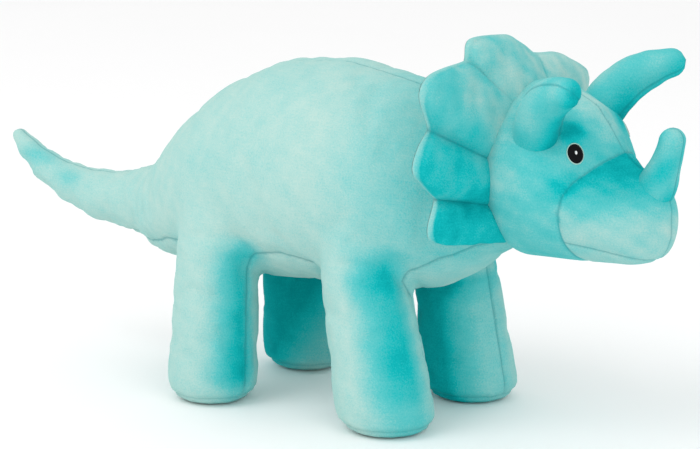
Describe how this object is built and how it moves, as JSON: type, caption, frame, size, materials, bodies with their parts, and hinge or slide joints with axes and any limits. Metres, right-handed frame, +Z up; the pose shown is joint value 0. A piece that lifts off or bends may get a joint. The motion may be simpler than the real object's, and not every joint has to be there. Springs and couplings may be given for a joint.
{
  "type": "stuffed dinosaur",
  "caption": "Soft velour three-horned dinosaur that stands on four stuffed legs, with a padded scalloped frill, soft horns and an upturned tail.",
  "frame": {"origin": "on the floor, under the middle of the toy's overall box", "axes": "+X towards the snout, +Y towards the animal's left, +Z up"},
  "size_m": [0.608, 0.2442, 0.293],
  "materials": {
    "turquoise_velour": "short-pile velour, soft sheen",
    "polyester_fibre": "loose white fibre fill",
    "black_embroidery": "dense satin stitch",
    "white_embroidery": "dense satin stitch"
  },
  "bodies": {
    "torso": {"torso_left_panel": "turquoise_velour", "torso_right_panel": "turquoise_velour", "belly_gusset": "turquoise_velour", "torso_stuffing": "polyester_fibre"},
    "neck": {"neck_stuffing": "polyester_fibre", "neck_cover": "turquoise_velour"},
    "head": {"head_back_panel": "turquoise_velour", "head_left_panel": "turquoise_velour", "head_right_panel": "turquoise_velour", "snout_left_panel": "turquoise_velour", "snout_right_panel": "turquoise_velour", "chin_gusset": "turquoise_velour", "head_stuffing": "polyester_fibre", "left_eye_patch": "black_embroidery", "right_eye_patch": "black_embroidery", "left_eye_highlight": "white_embroidery", "right_eye_highlight": "white_embroidery", "frill_front_panel": "turquoise_velour", "frill_back_panel": "turquoise_velour", "frill_batting": "polyester_fibre"},
    "tail_base": {"tail_base_left_panel": "turquoise_velour", "tail_base_right_panel": "turquoise_velour", "tail_base_stuffing": "polyester_fibre"},
    "tail_tip": {"tail_tip_left_panel": "turquoise_velour", "tail_tip_right_panel": "turquoise_velour", "tail_tip_stuffing": "polyester_fibre"},
    "left_horn": {"left_horn_upper_panel": "turquoise_velour", "left_horn_lower_panel": "turquoise_velour", "left_horn_stuffing": "polyester_fibre"},
    "right_horn": {"right_horn_upper_panel": "turquoise_velour", "right_horn_lower_panel": "turquoise_velour", "right_horn_stuffing": "polyester_fibre"},
    "nose_horn": {"nose_horn_left_panel": "turquoise_velour", "nose_horn_right_panel": "turquoise_velour", "nose_horn_stuffing": "polyester_fibre"},
    "front_left_leg": {"front_left_leg_outer_panel": "turquoise_velour", "front_left_leg_inner_panel": "turquoise_velour", "front_left_leg_sole": "turquoise_velour", "front_left_leg_stuffing": "polyester_fibre"},
    "front_right_leg": {"front_right_leg_outer_panel": "turquoise_velour", "front_right_leg_inner_panel": "turquoise_velour", "front_right_leg_sole": "turquoise_velour", "front_right_leg_stuffing": "polyester_fibre"},
    "hind_left_leg": {"hind_left_leg_outer_panel": "turquoise_velour", "hind_left_leg_inner_panel": "turquoise_velour", "hind_left_leg_sole": "turquoise_velour", "hind_left_leg_stuffing": "polyester_fibre"},
    "hind_right_leg": {"hind_right_leg_outer_panel": "turquoise_velour", "hind_right_leg_inner_panel": "turquoise_velour", "hind_right_leg_sole": "turquoise_velour", "hind_right_leg_stuffing": "polyester_fibre"}
  },
  "joints": [
    {"name": "head_turn", "type": "hinge", "parent": "torso", "child": "neck", "pos_m": [0.156, 0, 0.182], "axis": [0, 0, 1], "range_deg": [-12, 12], "stiffness_Nm_per_rad": 2},
    {"name": "head_nod", "type": "hinge", "parent": "neck", "child": "head", "pos_m": [0.156, 0, 0.182], "axis": [0, 1, 0], "range_deg": [-10, 10], "stiffness_Nm_per_rad": 2.5},
    {"name": "tail_sway", "type": "hinge", "parent": "torso", "child": "tail_base", "pos_m": [-0.142, 0, 0.132], "axis": [0, 0, 1], "range_deg": [-20, 20], "stiffness_Nm_per_rad": 0.5},
    {"name": "tail_curl", "type": "hinge", "parent": "tail_base", "child": "tail_tip", "pos_m": [-0.2215, 0, 0.13], "axis": [0, 1, 0], "range_deg": [-15, 15], "stiffness_Nm_per_rad": 0.15},
    {"name": "front_left_leg_swing", "type": "hinge", "parent": "torso", "child": "front_left_leg", "pos_m": [0.078, 0.05, 0.118], "axis": [0, -1, 0], "range_deg": [-12, 12], "stiffness_Nm_per_rad": 1.5},
    {"name": "front_right_leg_swing", "type": "hinge", "parent": "torso", "child": "front_right_leg", "pos_m": [0.078, -0.05, 0.118], "axis": [0, -1, 0], "range_deg": [-12, 12], "stiffness_Nm_per_rad": 1.5},
    {"name": "hind_left_leg_swing", "type": "hinge", "parent": "torso", "child": "hind_left_leg", "pos_m": [-0.064, 0.052, 0.118], "axis": [0, -1, 0], "range_deg": [-12, 12], "stiffness_Nm_per_rad": 1.5},
    {"name": "hind_right_leg_swing", "type": "hinge", "parent": "torso", "child": "hind_right_leg", "pos_m": [-0.064, -0.052, 0.118], "axis": [0, -1, 0], "range_deg": [-12, 12], "stiffness_Nm_per_rad": 1.5},
    {"name": "left_horn_flex", "type": "hinge", "parent": "head", "child": "left_horn", "pos_m": [0.214, 0.042, 0.236], "axis": [0.6698, -0.7426, 0], "range_deg": [-15, 15], "stiffness_Nm_per_rad": 0.06},
    {"name": "right_horn_flex", "type": "hinge", "parent": "head", "child": "right_horn", "pos_m": [0.214, -0.042, 0.236], "axis": [-0.6698, -0.7426, 0], "range_deg": [-15, 15], "stiffness_Nm_per_rad": 0.06},
    {"name": "nose_horn_flex", "type": "hinge", "parent": "head", "child": "nose_horn", "pos_m": [0.285, 0, 0.2], "axis": [0, -1, 0], "range_deg": [-12, 12], "stiffness_Nm_per_rad": 0.06}
  ]
}
